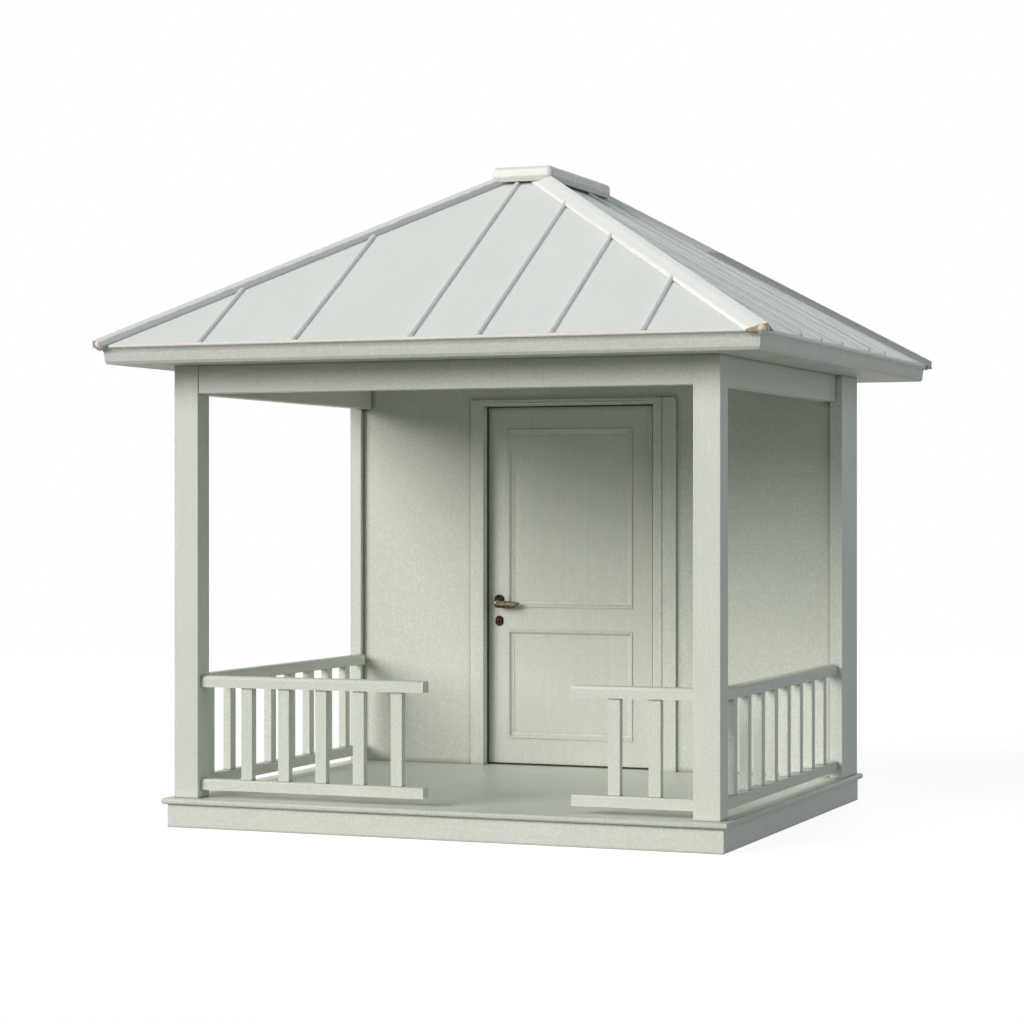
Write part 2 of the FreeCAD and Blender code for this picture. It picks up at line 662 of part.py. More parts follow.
# One slope in its own axes, its eave towards -Y, then turned into place: a panel with a
# rolled seam at each share of the eave, stopping under the hip rolls or the cap
def slope(name, turn, eave, ridge, eaveY, ridgeY, shares):
    panel = doc.addObject("Part::Wedge", name + "Panel")
    bind(panel, Xmin=eave[0], Xmax=eave[1], Ymin=eaveY, Ymax=ridgeY, Zmin=roofZ, Zmax=eaveTop,
         X2min=ridge[0], X2max=ridge[1], Z2min=f"{capBottom} - panelDeep", Z2max=capBottom)
    panel.Placement.Rotation = FreeCAD.Rotation(FreeCAD.Vector(0, 0, 1), turn)
    run = f"({ridgeY} - {eaveY})"
    pieces = [panel]
    for number, share in enumerate(shares):
        x = f"({eave[0]} + {share} * ({eave[1]} - {eave[0]}))"
        toHip = f"min(1; ({x} - {eave[0]}) / ({ridge[0]} - {eave[0]}); ({eave[1]} - {x}) / ({eave[1]} - {ridge[1]}))"
        seam = doc.addObject("Part::Cylinder", f"{name}Seam{number}")
        bind(seam, Radius="seamRound / 2", Height=f"{toHip} * sqrt({run} ^ 2 + roofRise ^ 2) - seamRound",
             Placement=f"placement(vector(0; 0; 0); rotationz({turn})) * placement(vector({x}; {eaveY}; {eaveTop}); "
                       f"rotationx(-atan2({run}; roofRise)))")
        pieces.append(seam)
    return without(name + "Slope", together("Part::MultiFuse", name + "Sheet", pieces), attic)


frontSlope = slope("Front", 0, (f"(0 - {roofX})", roofX), (f"(0 - {ridgeX})", ridgeX),
                   roofFront, ridgeFront, frontSeams)
backSlope = slope("Back", 180, (f"(0 - {roofX})", roofX), (f"(0 - {ridgeX})", ridgeX),
                  f"(0 - {roofRear})", f"(0 - {ridgeRear})", frontSeams)
rightSlope = slope("Right", 90, (roofFront, roofRear), (ridgeFront, ridgeRear),
                   f"(0 - {roofX})", f"(0 - {ridgeX})", sideSeams)
leftSlope = slope("Left", -90, (f"(0 - {roofRear})", f"(0 - {roofFront})"), (f"(0 - {ridgeRear})", f"(0 - {ridgeFront})"),
                  f"(0 - {roofX})", f"(0 - {ridgeX})", [1 - share for share in sideSeams])
slopes = [frontSlope, backSlope, rightSlope, leftSlope]
for thing, label in zip(slopes, ("roof_front", "roof_back", "roof_right", "roof_left")):
    keep(thing, label)

# Fascia with a flared foot and a cove under the eave, mitred at the corners
fasciaHead = f"(fasciaHigh + fasciaThick + crownOut)"
fasciaRing = moulding("FasciaRing", [
    ("(0 - fasciaThick)", "0"), ("(0 - fasciaThick)", fasciaHead), ("crownOut", fasciaHead),
    ("crownOut", "fasciaHigh", "coveRound", -1), ("faceOut", "coveFoot"), ("flareOut", "flareHigh"), ("0", "0")],
    f"(0 - {eaveX})", eaveFront, f"(2 * {eaveX})", eaveLong, soffitZ)
eaveBlock = board("EaveBlock", f"2 * {roofX}", roofLong, "fasciaHigh", f"0 - {roofX}", roofFront, soffitZ)
fascia = keep(shared("Fascia", fasciaRing, together("Part::MultiFuse", "UnderRoof", [attic, eaveBlock])), "fascia")

# Drip edge in front of the panels
drip = keep(moulding("Drip", nose("dripOut", "panelDeep", "dripRound"),
                     f"(0 - {roofX})", roofFront, f"(2 * {roofX})", roofLong, roofZ), "drip_edge")

# Ridge cap with softened edges, on a plug between the slopes
capBlock = board("CapBlock", "capWide", "capLong", "capHigh", "0 - capWide / 2", f"{ridgeFront} - capLap", capBottom)
capCorners = softened("CapCorners", capBlock, "capCorner", lambda box: box.ZLength > 1)
capSoft = softened("CapSoft", capCorners, "capRound", lambda box: box.ZMin > value(f"{capBottom} + capHigh") - 1)
capPlug = board("CapPlug", f"2 * {ridgeX}", f"{ridgeRear} - {ridgeFront}", "panelDeep", f"0 - {ridgeX}", ridgeFront,
                f"{capBottom} - panelDeep")
capWhole = together("Part::MultiFuse", "CapWhole", [capPlug, capSoft])
cap = keep(without("Cap", capWhole, together("Part::MultiFuse", "CapNotches", slopes)), "ridge_cap")

# Hip rolls: a round roll along each hip, with a tapered end past the corner of the eaves
rollTrim = together("Part::MultiFuse", "RollTrim", [attic, fascia, drip, cap, *slopes])
hipRolls = []
for name, x, y, topX, topY in (("FrontLeft", f"(0 - {roofX})", roofFront, f"(0 - {ridgeX})", ridgeFront),
                               ("FrontRight", roofX, roofFront, ridgeX, ridgeFront),
                               ("BackLeft", f"(0 - {roofX})", roofRear, f"(0 - {ridgeX})", ridgeRear),
                               ("BackRight", roofX, roofRear, ridgeX, ridgeRear)):
    across = f"({topX} - {x})"
    along = f"({topY} - {y})"
    plan = f"sqrt({across} ^ 2 + {along} ^ 2)"
    lie = (f"placement(vector({x}; {y}; {eaveTop}); rotationz(atan2({along}; {across})) * "
           f"rotationy(atan2({plan}; roofRise))) * placement(vector(0; 0; 0 - hipOut); rotationz(0))")
    end = doc.addObject("Part::Cone", name + "End")
    bind(end, Radius1="hipRound / 2 - hipTaper", Radius2="hipRound / 2", Height="hipTaper", Placement=lie)
    roll = doc.addObject("Part::Cylinder", name + "Roll")
    bind(roll, Radius="hipRound / 2", Height=f"sqrt({plan} ^ 2 + roofRise ^ 2) + hipOut - hipTaper",
         Placement=f"{lie} * placement(vector(0; 0; hipTaper); rotationz(0))")
    hipRolls.append(without(name + "Hip", together("Part::MultiFuse", name + "Whole", [roll, end]), rollTrim))
keep(together("Part::Compound", "HipRolls", hipRolls), "hip_rolls")

# Checks, then one file for each piece
doc.recompute()
for thing in doc.Objects:
    if "Invalid" in thing.State or "Error" in thing.State:
        raise RuntimeError(f"{thing.Name} did not compute")
for thing in parts:
    if thing.Shape.isNull() or not thing.Shape.isValid() or thing.Shape.Volume <= 0:
        raise RuntimeError(f"{thing.Label} has no valid solid")
os.makedirs("parts", exist_ok=True)
for thing in parts:
    thing.Shape.exportStep(f"parts/{thing.Label}.step")
print(len(parts), "pieces")
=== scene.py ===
import math

import bmesh
import bpy
from mathutils import Matrix, Vector


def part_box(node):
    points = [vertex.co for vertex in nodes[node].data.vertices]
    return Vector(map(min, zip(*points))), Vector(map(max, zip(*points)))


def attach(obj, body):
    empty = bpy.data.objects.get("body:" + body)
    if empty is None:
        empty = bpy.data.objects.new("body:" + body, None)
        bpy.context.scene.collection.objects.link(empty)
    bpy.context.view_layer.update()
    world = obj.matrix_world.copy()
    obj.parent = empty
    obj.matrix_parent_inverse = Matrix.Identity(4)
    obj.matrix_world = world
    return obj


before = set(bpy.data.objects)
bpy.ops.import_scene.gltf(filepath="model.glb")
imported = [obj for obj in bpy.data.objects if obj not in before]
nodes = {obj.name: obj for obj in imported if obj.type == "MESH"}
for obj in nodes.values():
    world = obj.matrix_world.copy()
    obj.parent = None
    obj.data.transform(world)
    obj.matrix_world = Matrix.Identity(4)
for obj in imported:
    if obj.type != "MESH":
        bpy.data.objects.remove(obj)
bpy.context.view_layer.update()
scene = bpy.context.scene
print("frame loaded:", len(nodes), "nodes")

# Camera, placed where the photograph was taken
view = {"place": (5.076, -13.177, 1.592), "turn": 21.66, "dip": 0.024, "lens": 93.11}
cameraData = bpy.data.cameras.new("camera")
cameraData.lens = view["lens"]
cameraData.clip_end = 200
camera = bpy.data.objects.new("camera", cameraData)
camera.location = view["place"]
camera.rotation_euler = (math.radians(90 - view["dip"]), 0, math.radians(view["turn"]))
scene.collection.objects.link(camera)
scene.camera = camera

# Materials


# A node with its settings and inputs; an input that is a socket gets linked
def addNode(tree, kind, inputs, **settings):
    made = tree.nodes.new(kind)
    for name, setting in settings.items():
        setattr(made, name, setting)
    for name, given in inputs.items():
        if isinstance(given, bpy.types.NodeSocket):
            tree.links.new(given, made.inputs[name])
        else:
            made.inputs[name].default_value = given
    return made


def mixColours(tree, share, first, second, blend="MIX"):
    made = addNode(tree, "ShaderNodeMix", {}, data_type="RGBA", blend_type=blend, clamp_factor=True)
    for place, given in ((0, share), (6, first), (7, second)):
        if isinstance(given, bpy.types.NodeSocket):
            tree.links.new(given, made.inputs[place])
        else:
            made.inputs[place].default_value = given
    return made.outputs[2]


def spread(tree, socket, low, high, toLow=0.0, toHigh=1.0):
    made = addNode(tree, "ShaderNodeMapRange", {"Value": socket, "From Min": low, "From Max": high,
                                                "To Min": toLow, "To Max": toHigh})
    return made.outputs["Result"]


def noise(tree, coords, scale, detail=3.0, stretch=None):
    if stretch:
        coords = addNode(tree, "ShaderNodeMapping", {"Vector": coords, "Scale": stretch}).outputs["Vector"]
    made = addNode(tree, "ShaderNodeTexNoise", {"Vector": coords, "Scale": scale, "Detail": detail})
    return made.outputs["Fac"]


def opaque(colour):
    return (*colour, 1.0)


# The paint's layers over its clouds: which noise, from which value to which, how much of
# it shows and its colour, both as names in a finish
paintLayers = (("mottle", 0.52, 0.72, "mottleShow", "warm"), ("mottle", 0.48, 0.28, "mottleShow", "cool"),
               ("grain", 0.52, 0.75, "grainShow", "grain"), ("grain", 0.46, 0.28, "grainShow", "speckle"),
               ("speckle", 0.52, 0.68, "speckleShow", "speckle"),
               ("speckle", 0.48, 0.32, "speckleShow", "pore"))


# A painted shade that fades out along a way, with a ragged edge
def shadeBand(tree, tone, coords, mottle, band):
    reach = addNode(tree, "ShaderNodeVectorMath", {0: coords, 1: band["way"]}, operation="DOT_PRODUCT")
    ragged = spread(tree, mottle, 0.3, 0.7, -band["ragged"], band["ragged"])
    moved = addNode(tree, "ShaderNodeMath", {0: reach.outputs["Value"], 1: ragged}, operation="ADD")
    share = spread(tree, moved.outputs[0], band["low"], band["high"], band["show"], 0.0)
    return mixColours(tree, share, tone, opaque(band["colour"]))


# Paint on wood or sheet: clouds of slightly different tone, grain or streaks along one
# way, a speckle like that of a foam roller, pale edges that are partly wear and partly
# painted highlight, painted shade in nooks, and a bump from the same noises
def paintFinish(name, finish):
    material = bpy.data.materials.new(name)
    material.use_nodes = True
    tree = material.node_tree
    shader = tree.nodes["Principled BSDF"]
    coords = tree.nodes.new("ShaderNodeTexCoord").outputs["Object"]
    clouds = noise(tree, coords, finish["cloudScale"], 4.0)
    noises = {"mottle": noise(tree, coords, finish["mottleScale"], 2.0, finish["mottleStretch"]),
              "speckle": noise(tree, coords, finish["speckleScale"], 3.0),
              "grain": noise(tree, coords, finish["grainScale"], 4.0, finish["grainStretch"])}
    share = spread(tree, clouds, 0.35, 0.65)
    tone = mixColours(tree, share, opaque(finish["colour"]), opaque(finish["cloud"]))
    for source, low, high, show, colour in paintLayers:
        share = spread(tree, noises[source], low, high, 0.0, finish[show])
        tone = mixColours(tree, share, tone, opaque(finish[colour]))
    # Pale edges found by a bevel: partly wear and partly a painted highlight along the arrises
    edge = addNode(tree, "ShaderNodeBevel", {"Radius": finish["edgeWide"]}, samples=4).outputs["Normal"]
    flat = tree.nodes.new("ShaderNodeNewGeometry").outputs["Normal"]
    facing = addNode(tree, "ShaderNodeVectorMath", {0: edge, 1: flat}, operation="DOT_PRODUCT")
    wearAndHighlightEdge = spread(tree, facing.outputs["Value"], 0.98, 0.8, 0.0, finish["edgeShow"])
    patchy = spread(tree, noises["mottle"], 0.3, 0.6)
    wornAndHighlit = addNode(tree, "ShaderNodeMath", {0: wearAndHighlightEdge, 1: patchy}, operation="MULTIPLY")
    tone = mixColours(tree, wornAndHighlit.outputs[0], tone, opaque(finish["edge"]))
    # Painted shade: the colour darkens toward the nook shade colour where ambient occlusion finds corners,
    # creases and recesses
    nookShade = addNode(tree, "ShaderNodeAmbientOcclusion", {"Distance": finish["nookShadeWide"]}, samples=4)
    share = spread(tree, nookShade.outputs["AO"], finish["nookShadeFrom"], 0.35, 0.0, finish["nookShadeShow"])
    tone = mixColours(tree, share, tone, opaque(finish["nookShade"]))
    # A band of painted shade, where a finish has one
    if "band" in finish:
        tone = shadeBand(tree, tone, coords, noises["mottle"], finish["band"])
    tree.links.new(tone, shader.inputs["Base Color"])
    rough = spread(tree, noises["speckle"], 0.3, 0.7, finish["rough"][0], finish["rough"][1])
    tree.links.new(rough, shader.inputs["Roughness"])
    height = addNode(tree, "ShaderNodeMath", {0: noises["grain"], 1: noises["speckle"]}, operation="ADD")
    bump = addNode(tree, "ShaderNodeBump", {"Height": height.outputs[0], "Distance": finish["bump"],
                                            "Strength": 1.0})
    tree.links.new(bump.outputs["Normal"], shader.inputs["Normal"])
    shader.inputs["Specular IOR Level"].default_value = finish["shine"]
    return material


# The ways that the grain runs
upright, across, along, allWays = (1.0, 1.0, 0.06), (0.06, 1.0, 1.0), (1.0, 0.06, 1.0), (1.0, 1.0, 1.0)
timberPaint = {
    "colour": (0.715, 0.735, 0.658), "cloud": (0.682, 0.707, 0.630), "cloudScale": 2.6,
    "warm": (0.745, 0.729, 0.655), "cool": (0.675, 0.719, 0.680),
    "mottleScale": 22.0, "mottleStretch": allWays, "mottleShow": 0.45,
    "grain": (0.65, 0.672, 0.595), "grainScale": 60.0, "grainShow": 0.3,
    "speckle": (0.83, 0.85, 0.775), "pore": (0.595, 0.616, 0.54), "speckleScale": 120.0, "speckleShow": 0.55,
    "edge": (0.92, 0.915, 0.835), "edgeWide": 0.005, "edgeShow": 1.0,
    "nookShade": (0.22, 0.225, 0.17), "nookShadeWide": 0.035, "nookShadeShow": 0.8, "nookShadeFrom": 0.72,
    "rough": (0.46, 0.62), "bump": 0.0006, "shine": 0.4}
uprightPaint = paintFinish("uprightTimberPaint", {**timberPaint, "grainStretch": upright})
acrossPaint = paintFinish("acrossTimberPaint", {**timberPaint, "grainStretch": across})
alongPaint = paintFinish("alongTimberPaint", {**timberPaint, "grainStretch": along})
# A darker copy of the timber paint for the fascia, soffit, ceiling and nosing: painted shade
shadedEavePaint = paintFinish("eaveBoardShadedPaint", {
    **timberPaint, "grainStretch": (0.1, 0.1, 1.0), "colour": (0.605, 0.628, 0.565),
    "cloud": (0.575, 0.60, 0.54)})
# Door trim paint with strong pale edges, partly a painted highlight on the casing's arrises, and more painted
# shade in its nooks
trimPaint = paintFinish("doorTrimPaint", {
    **timberPaint, "grainStretch": upright, "edgeWide": 0.008, "edgeShow": 2.0, "edge": (0.97, 0.955, 0.86),
    "nookShadeFrom": 0.85})
# Wall paint with strong, dark painted shade in its nooks, as above the head casing
wallPaint = paintFinish("wallPaint", {
    **timberPaint, "grainStretch": (1.0, 1.0, 0.5), "grainShow": 0.15, "colour": (0.66, 0.68, 0.605),
    "cloud": (0.63, 0.655, 0.58), "nookShadeFrom": 0.94, "nookShadeShow": 1.0, "nookShade": (0.16, 0.165, 0.12)})
deckPaint = paintFinish("deckFloorPaint", {
    **timberPaint, "colour": (0.76, 0.785, 0.73), "cloud": (0.73, 0.755, 0.70),
    "grainStretch": (0.05, 1.0, 1.0), "grainScale": 40.0, "grainShow": 0.5, "speckleShow": 0.3,
    "rough": (0.32, 0.5)})
# Moulding paint with strong painted shade in the panel recesses
mouldPaint = paintFinish("panelMouldingPaint", {
    **timberPaint, "grainStretch": (1.0, 1.0, 0.1), "edge": (0.88, 0.855, 0.77), "edgeShow": 0.9,
    "warm": (0.76, 0.70, 0.62), "nookShade": (0.20, 0.175, 0.135), "nookShadeWide": 0.05, "nookShadeShow": 1.0,
    "nookShadeFrom": 0.9})
# Pale paint for the head lip: a painted highlight in the shade under the head casing
highlitLipPaint = paintFinish("headLipHighlightPaint", {
    **timberPaint, "grainStretch": (0.1, 1.0, 1.0), "colour": (0.95, 0.945, 0.87),
    "cloud": (0.90, 0.90, 0.83)})
# Roof coating with painted shade in its nooks, as along the hips
sheetPaint = {
    **timberPaint, "colour": (0.875, 0.915, 0.885), "cloud": (0.845, 0.885, 0.855),
    "warm": (0.89, 0.90, 0.86), "cool": (0.83, 0.90, 0.895),
    "grain": (0.80, 0.835, 0.815), "grainScale": 16.0, "grainShow": 0.25,
    "speckle": (0.93, 0.95, 0.93), "pore": (0.77, 0.81, 0.79), "speckleShow": 0.5, "edge": (0.92, 0.92, 0.88),
    "nookShade": (0.26, 0.28, 0.275), "nookShadeWide": 0.05, "nookShadeShow": 0.9,
    "rough": (0.36, 0.52), "bump": 0.0005, "shine": 0.5}
frontSheet = paintFinish("frontSlopeCoating", {**sheetPaint, "grainStretch": (1.0, 0.12, 0.12)})
sideSheet = paintFinish("sideSlopeCoating", {
    **sheetPaint, "colour": (0.91, 0.935, 0.92), "warm": (0.98, 0.98, 0.965), "cool": (0.70, 0.735, 0.745),
    "mottleStretch": (0.3, 1.0, 0.3), "mottleScale": 16.0, "mottleShow": 0.9,
    "grainStretch": (0.05, 1.0, 0.05), "grainScale": 9.0, "grainShow": 1.0,
    "grain": (0.60, 0.64, 0.645), "speckle": (0.98, 0.985, 0.97)})
# Hip capping coating with broad pale edges: partly wear and partly a painted highlight along the capping's lips
cappingSheet = paintFinish("hipCappingCoating", {
    **sheetPaint, "grainStretch": allWays, "colour": (0.87, 0.89, 0.865), "cloud": (0.83, 0.855, 0.835),
    "warm": (0.88, 0.875, 0.83), "edge": (0.99, 0.965, 0.90), "edgeWide": 0.012, "edgeShow": 2.0})
dripSheet = paintFinish("dripEdgeCoating", {
    **sheetPaint, "grainStretch": (0.2, 0.2, 1.0), "colour": (0.80, 0.765, 0.70),
    "cloud": (0.76, 0.715, 0.65), "warm": (0.80, 0.70, 0.62)})
seamSheet = paintFinish("seamRollCoating", {
    **sheetPaint, "grainStretch": allWays, "colour": (0.86, 0.885, 0.86), "cloud": (0.83, 0.85, 0.83)})
wornSheet = paintFinish("wornSeamCap", {
    **sheetPaint, "grainStretch": allWays, "colour": (0.70, 0.67, 0.61), "cloud": (0.76, 0.74, 0.69),
    "warm": (0.55, 0.44, 0.36)})
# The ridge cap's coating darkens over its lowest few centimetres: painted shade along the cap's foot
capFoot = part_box("ridge_cap")[0].z + 0.018
capSheet = paintFinish("ridgeCapCoating", {
    **sheetPaint, "grainStretch": allWays, "colour": (0.87, 0.872, 0.815), "cloud": (0.84, 0.84, 0.785),
    "warm": (0.89, 0.87, 0.80),
    "band": {"way": (0.0, 0.0, 1.0), "low": capFoot + 0.020, "high": capFoot + 0.032, "ragged": 0.004,
             "show": 0.8, "colour": (0.50, 0.49, 0.42)}})


# Bare sawn softwood under the deck
def sawnTimber():
    material = bpy.data.materials.new("sawnTimber")
    material.use_nodes = True
    tree = material.node_tree
    shader = tree.nodes["Principled BSDF"]
    coords = tree.nodes.new("ShaderNodeTexCoord").outputs["Object"]
    grain = noise(tree, coords, 50.0, 6.0, (1.0, 0.05, 1.0))
    saw = noise(tree, coords, 260.0, 2.0, (1.0, 1.0, 0.2))
    pale, dark = opaque((0.56, 0.44, 0.30)), opaque((0.42, 0.31, 0.20))
    tone = mixColours(tree, spread(tree, grain, 0.35, 0.65), pale, dark)
    tree.links.new(tone, shader.inputs["Base Color"])
    tree.links.new(spread(tree, saw, 0.3, 0.7, 0.7, 0.9), shader.inputs["Roughness"])
    bump = addNode(tree, "ShaderNodeBump", {"Height": saw, "Distance": 0.001})
    tree.links.new(bump.outputs["Normal"], shader.inputs["Normal"])
    return material


# Metal with a worn patina: bronze on the lever and plates, steel on the hinges
def metalFinish(name, tones, rough, scale=90.0):
    material = bpy.data.materials.new(name)
    material.use_nodes = True
    tree = material.node_tree
    shader = tree.nodes["Principled BSDF"]
    coords = tree.nodes.new("ShaderNodeTexCoord").outputs["Object"]
    stain = noise(tree, coords, scale, 5.0)
    fine = noise(tree, coords, scale * 12, 2.0)
    tone = mixColours(tree, spread(tree, stain, 0.38, 0.62), opaque(tones["dark"]), opaque(tones["bright"]))
    tone = mixColours(tree, spread(tree, fine, 0.55, 0.75, 0.0, 0.6), tone, opaque(tones["patina"]))
    tree.links.new(tone, shader.inputs["Base Color"])
    tree.links.new(spread(tree, stain, 0.3, 0.7, rough[0], rough[1]), shader.inputs["Roughness"])
    bump = addNode(tree, "ShaderNodeBump", {"Height": fine, "Distance": 0.0002})
    tree.links.new(bump.outputs["Normal"], shader.inputs["Normal"])
    shader.inputs["Metallic"].default_value = 1.0
    return material


# A dull material with a bloom of two tones, for rubber, the painted shade of key holes and worn ends
def dullFinish(name, dark, bright):
    material = bpy.data.materials.new(name)
    material.use_nodes = True
    tree = material.node_tree
    shader = tree.nodes["Principled BSDF"]
    coords = tree.nodes.new("ShaderNodeTexCoord").outputs["Object"]
    bloom = noise(tree, coords, 40.0, 4.0)
    tone = mixColours(tree, spread(tree, bloom, 0.4, 0.7), opaque(dark), opaque(bright))
    tree.links.new(tone, shader.inputs["Base Color"])
    tree.links.new(spread(tree, bloom, 0.3, 0.7, 0.6, 0.85), shader.inputs["Roughness"])
    return material


sawn = sawnTimber()
bronzes = {"lever": {"dark": (0.085, 0.072, 0.050), "bright": (0.25, 0.225, 0.17),
                     "patina": (0.045, 0.034, 0.022)},
           "plate": {"dark": (0.011, 0.005, 0.004), "bright": (0.060, 0.034, 0.027),
                     "patina": (0.005, 0.002, 0.002)}}
steel = {"dark": (0.46, 0.46, 0.45), "bright": (0.60, 0.60, 0.58), "patina": (0.36, 0.34, 0.32)}
leverBronze = metalFinish("leverBronze", bronzes["lever"], (0.26, 0.40))
plateBronze = metalFinish("plateBronze", bronzes["plate"], (0.20, 0.34))
hingeSteel = metalFinish("hingeSteel", steel, (0.32, 0.5))
# Dark rubber for the seals, which also stands as painted shade in the gaps round the door leaf
rubberAndGapShade = dullFinish("sealRubberAndGapShade", (0.020, 0.020, 0.018), (0.045, 0.045, 0.040))
# Near-black for the keyways: painted shade in the key holes
keyholeShade = dullFinish("keyholeShadeDark", (0.006, 0.005, 0.004), (0.012, 0.010, 0.008))
wornBrown = dullFinish("wornBrownEnd", (0.40, 0.27, 0.17), (0.60, 0.46, 0.33))
print("materials ready")


# CAD nodes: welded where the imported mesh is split, with a small bevel on their edges
softening = {"weld": 0.00005, "segments": 2, "turn": 40, "timber": 0.003}


def dress(names, material, bevel=0.0):
    for name in names:
        piece = nodes[name]
        piece.data.materials.clear()
        piece.data.materials.append(material)
        if bevel:
            weld = piece.modifiers.new("weld", "WELD")
            weld.merge_threshold = softening["weld"]
            soften = piece.modifiers.new("soften", "BEVEL")
            soften.width = bevel
            soften.segments = softening["segments"]
            soften.limit_method = "ANGLE"
            soften.angle_limit = math.radians(softening["turn"])
            soften.harden_normals = False
            soften.use_clamp_overlap = True


dress(["front_left_post", "front_right_post", "rear_left_post", "rear_right_post", "front_left_balusters",
       "front_right_balusters", "left_balusters", "right_balusters"], uprightPaint, softening["timber"])
dress(["front_beam", "rear_beam", "skirt_front", "skirt_back", "front_left_rails", "front_right_rails"],
      acrossPaint, softening["timber"])
dress(["ceiling_board", "soffit_boards", "deck_nosing"], shadedEavePaint, softening["timber"])
dress(["left_beam", "right_beam", "skirt_left", "skirt_right", "left_rails", "right_rails"],
      alongPaint, softening["timber"])
dress(["fascia"], shadedEavePaint)
dress(["wall_left", "wall_right", "wall_over_door"], wallPaint)
dress(["door_frame", "front_casing", "rear_casing", "door_leaf", "door_panels"], trimPaint)
dress(["deck_floor"], deckPaint)
dress(["floor_joists"], sawn)
dress(["roof_front", "roof_back"], frontSheet)
dress(["roof_left", "roof_right"], sideSheet)
dress(["ridge_cap"], capSheet)
dress(["drip_edge", "hip_rolls"], dripSheet)
dress(["lever_handle"], leverBronze)
dress(["lock_plates"], plateBronze)
dress(["frame_hinges", "leaf_hinges"], hingeSteel)
print("frame dressed")


# A mesh piece from a bmesh, with its material and the body it rides on
def finishPiece(name, mesh, material, body):
    bmesh.ops.recalc_face_normals(mesh, faces=mesh.faces)
    data = bpy.data.meshes.new(name)
    mesh.to_mesh(data)
    mesh.free()
    data.materials.append(material)
    piece = bpy.data.objects.new(name, data)
    scene.collection.objects.link(piece)
    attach(piece, body)
    return piece


# Smooth shading, with the sharp edges kept
def smooth(piece, sharp=40):
    for face in piece.data.polygons:
        face.use_smooth = True
    piece.data.set_sharp_from_angle(angle=math.radians(sharp))


# A prism: a section of two coordinates, run along the third axis, then placed by a matrix
def addPrism(mesh, section, axis, start, stop, matrix=Matrix()):
    first, second = [number for number in range(3) if number != axis]
    rings = []
    for place in (start, stop):
        ring = []
        for one, other in section:
            spot = [0.0, 0.0, 0.0]
            spot[axis], spot[first], spot[second] = place, one, other
            ring.append(mesh.verts.new(matrix @ Vector(spot)))
        rings.append(ring)
    for here, after in zip(range(len(section)), (*range(1, len(section)), 0)):
        mesh.faces.new((rings[0][here], rings[0][after], rings[1][after], rings[1][here]))
    mesh.faces.new(rings[0])
    mesh.faces.new(rings[1])


# A mitred frame in the XZ plane: each point of its section is an inset and a place in y
def addFrame(mesh, low, high, section):
    loops = [[mesh.verts.new(spot) for spot in (
        (low[0] + inset, y, low[1] + inset), (high[0] - inset, y, low[1] + inset),
        (high[0] - inset, y, high[1] - inset), (low[0] + inset, y, high[1] - inset))] for inset, y in section]
    for loop, following in zip(loops, loops[1:] + loops[:1]):
        for here, after in ((0, 1), (1, 2), (2, 3), (3, 0)):
            mesh.faces.new((loop[here], loop[after], following[after], following[here]))


# A turned form along its own z: rings of height and radius, closed at both ends
def addTurned(mesh, rings, matrix, count=20):
    turns = [2 * math.pi * number / count for number in range(count)]
    made = [[mesh.verts.new(matrix @ Vector((radius * math.cos(turn), radius * math.sin(turn), height)))
             for turn in turns] for height, radius in rings]
    for lower, upper in zip(made, made[1:]):
        for here, after in zip(range(count), (*range(1, count), 0)):
            mesh.faces.new((lower[here], lower[after], upper[after], upper[here]))
    mesh.faces.new(made[0])
    mesh.faces.new(made[-1])


# Where a form stands, with its own z along the given way
def toward(place, way):
    return Matrix.Translation(place) @ Vector(way).to_track_quat("Z", "Y").to_matrix().to_4x4()


# A slotted screw head: a disc with two half moons on it
screw = {"radius": 0.0034, "high": 0.0016, "slot": 0.0009, "top": 0.96, "count": 16, "steps": 8}


def addScrew(mesh, matrix):
    radius = screw["radius"]
    top = radius * screw["top"]
    addTurned(mesh, ((0.0, radius), (screw["high"] / 2, radius)), matrix, screw["count"])
    reach = math.acos(screw["slot"] / 2 / radius)
    turns = [reach * (2 * number / screw["steps"] - 1) for number in range(screw["steps"] + 1)]
    for side in (-1, 1):
        moon = [(side * top * math.cos(turn), top * math.sin(turn)) for turn in turns]
        addPrism(mesh, moon, 2, screw["high"] / 2, screw["high"], matrix)


# Dark rubber seal on the frame round three sides of the doorway, and a sweep under the leaf: real seals whose
# dark also stands as painted shade in the gaps round the leaf
seal = {"mouth": 0.006, "gap": 0.0045, "proud": 0.0045, "headProud": 0.007, "long": 0.015, "lap": 0.004,
        "free": 0.0004, "hingeFrom": 0.0007, "hingeTo": 0.0052, "hingeIn": 0.002, "hingeDeep": 0.010}
sweep = {"high": 0.0105, "front": 0.001, "deep": 0.014, "end": 0.003}
leafLow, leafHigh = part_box("door_leaf")
mouthX = leafLow.x + seal["mouth"]
mouthZ = leafHigh.z - seal["mouth"]
sealBack = leafLow.y - seal["free"]
sealStep = leafLow.y - seal["gap"]
sealFront = sealBack - seal["long"]
tailX, tailZ = mouthX - seal["lap"] * 2, mouthZ + seal["lap"] * 2
noseX, noseZ = mouthX + seal["proud"], mouthZ - seal["headProud"]
mesh = bmesh.new()
addPrism(mesh, [(tailX, sealStep), (mouthX, sealStep), (mouthX, sealFront), (noseX, sealFront),
                (noseX, sealBack), (tailX, sealBack)], 2, leafLow.z, mouthZ)
addPrism(mesh, [(sealStep, tailZ), (sealStep, mouthZ), (sealFront, mouthZ), (sealFront, noseZ),
                (sealBack, noseZ), (sealBack, tailZ)], 0, noseX, leafHigh.x + seal["lap"])
hingeNear, hingeFar = leafHigh.x + seal["hingeFrom"], leafHigh.x + seal["hingeTo"]
hingeFront, hingeBack = leafLow.y + seal["hingeIn"], leafLow.y + seal["hingeDeep"]
